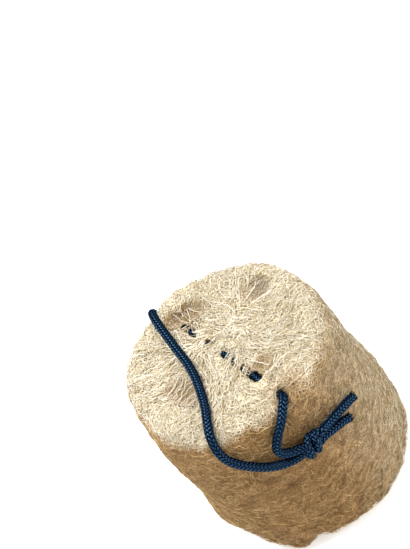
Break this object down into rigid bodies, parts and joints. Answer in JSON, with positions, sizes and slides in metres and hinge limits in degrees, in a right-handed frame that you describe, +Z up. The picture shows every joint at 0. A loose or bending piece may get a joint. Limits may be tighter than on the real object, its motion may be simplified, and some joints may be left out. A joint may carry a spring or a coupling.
{
  "type": "natural loofah sponge",
  "caption": "Piece of dried loofah gourd cut across at both ends, with a knotted dark blue braided cord through one end.",
  "frame": {"origin": "middle of the flat spot of the cut end that it stands on", "axes": "+Z up along the gourd's length, -Y towards the knot"},
  "size_m": [0.1092, 0.1157, 0.1021],
  "materials": {
    "loofah_fibre": "dry matte plant fibre net, pale straw on the cuts and tan on the skin",
    "navy_cord": "braided multifilament with a soft sheen"
  },
  "bodies": {
    "root": {"sponge": "loofah_fibre", "cord": "navy_cord"}
  },
  "joints": []
}
